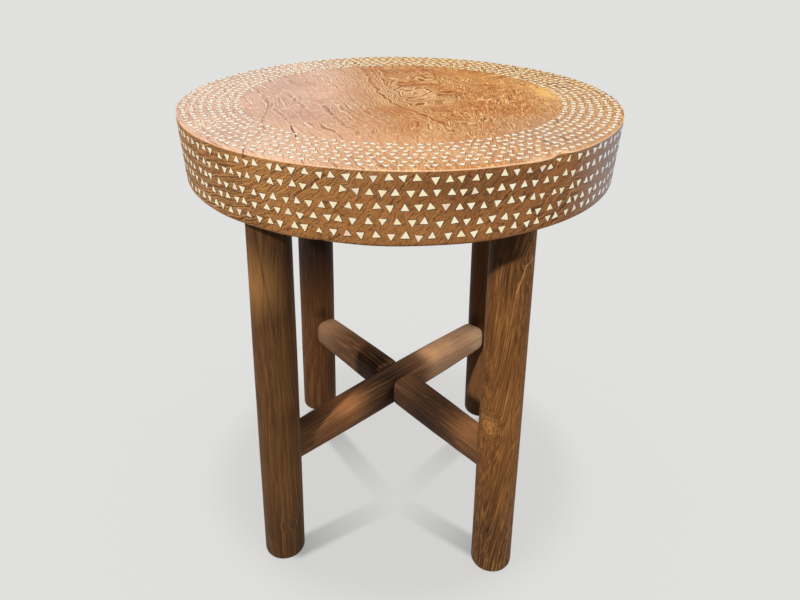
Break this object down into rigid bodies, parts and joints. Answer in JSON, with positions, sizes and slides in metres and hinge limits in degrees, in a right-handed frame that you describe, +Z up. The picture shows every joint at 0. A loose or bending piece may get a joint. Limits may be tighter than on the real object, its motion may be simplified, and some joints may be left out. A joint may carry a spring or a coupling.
{
  "type": "side table",
  "caption": "Round wooden side table: a thick tapered top set with rows of small shell triangles, on round legs braced low down by crossed stretchers.",
  "frame": {"origin": "on the floor, under the middle of the top", "axes": "+Z up, +X to the right and +Y to the back as the picture shows the table"},
  "size_m": [0.5002, 0.5002, 0.5435],
  "materials": {
    "top_wood": "waxed warm brown hardwood, swirling grain",
    "leg_wood": "waxed dark brown hardwood, straight grain",
    "shell": "cream shell or bone, ground flat"
  },
  "bodies": {
    "root": {"tabletop": "top_wood", "leg_front_left": "leg_wood", "leg_front_right": "leg_wood", "leg_back_left": "leg_wood", "leg_back_right": "leg_wood", "upper_stretcher": "leg_wood", "lower_stretcher": "leg_wood", "side_inlay_row_1": "shell", "side_inlay_row_2": "shell", "side_inlay_row_3": "shell", "side_inlay_row_4": "shell", "side_inlay_row_5": "shell", "border_inlay_row_1": "shell", "border_inlay_row_2": "shell", "border_inlay_row_3": "shell", "border_inlay_row_4": "shell", "border_inlay_row_5": "shell", "border_inlay_row_6": "shell", "border_inlay_row_7": "shell"}
  },
  "joints": []
}
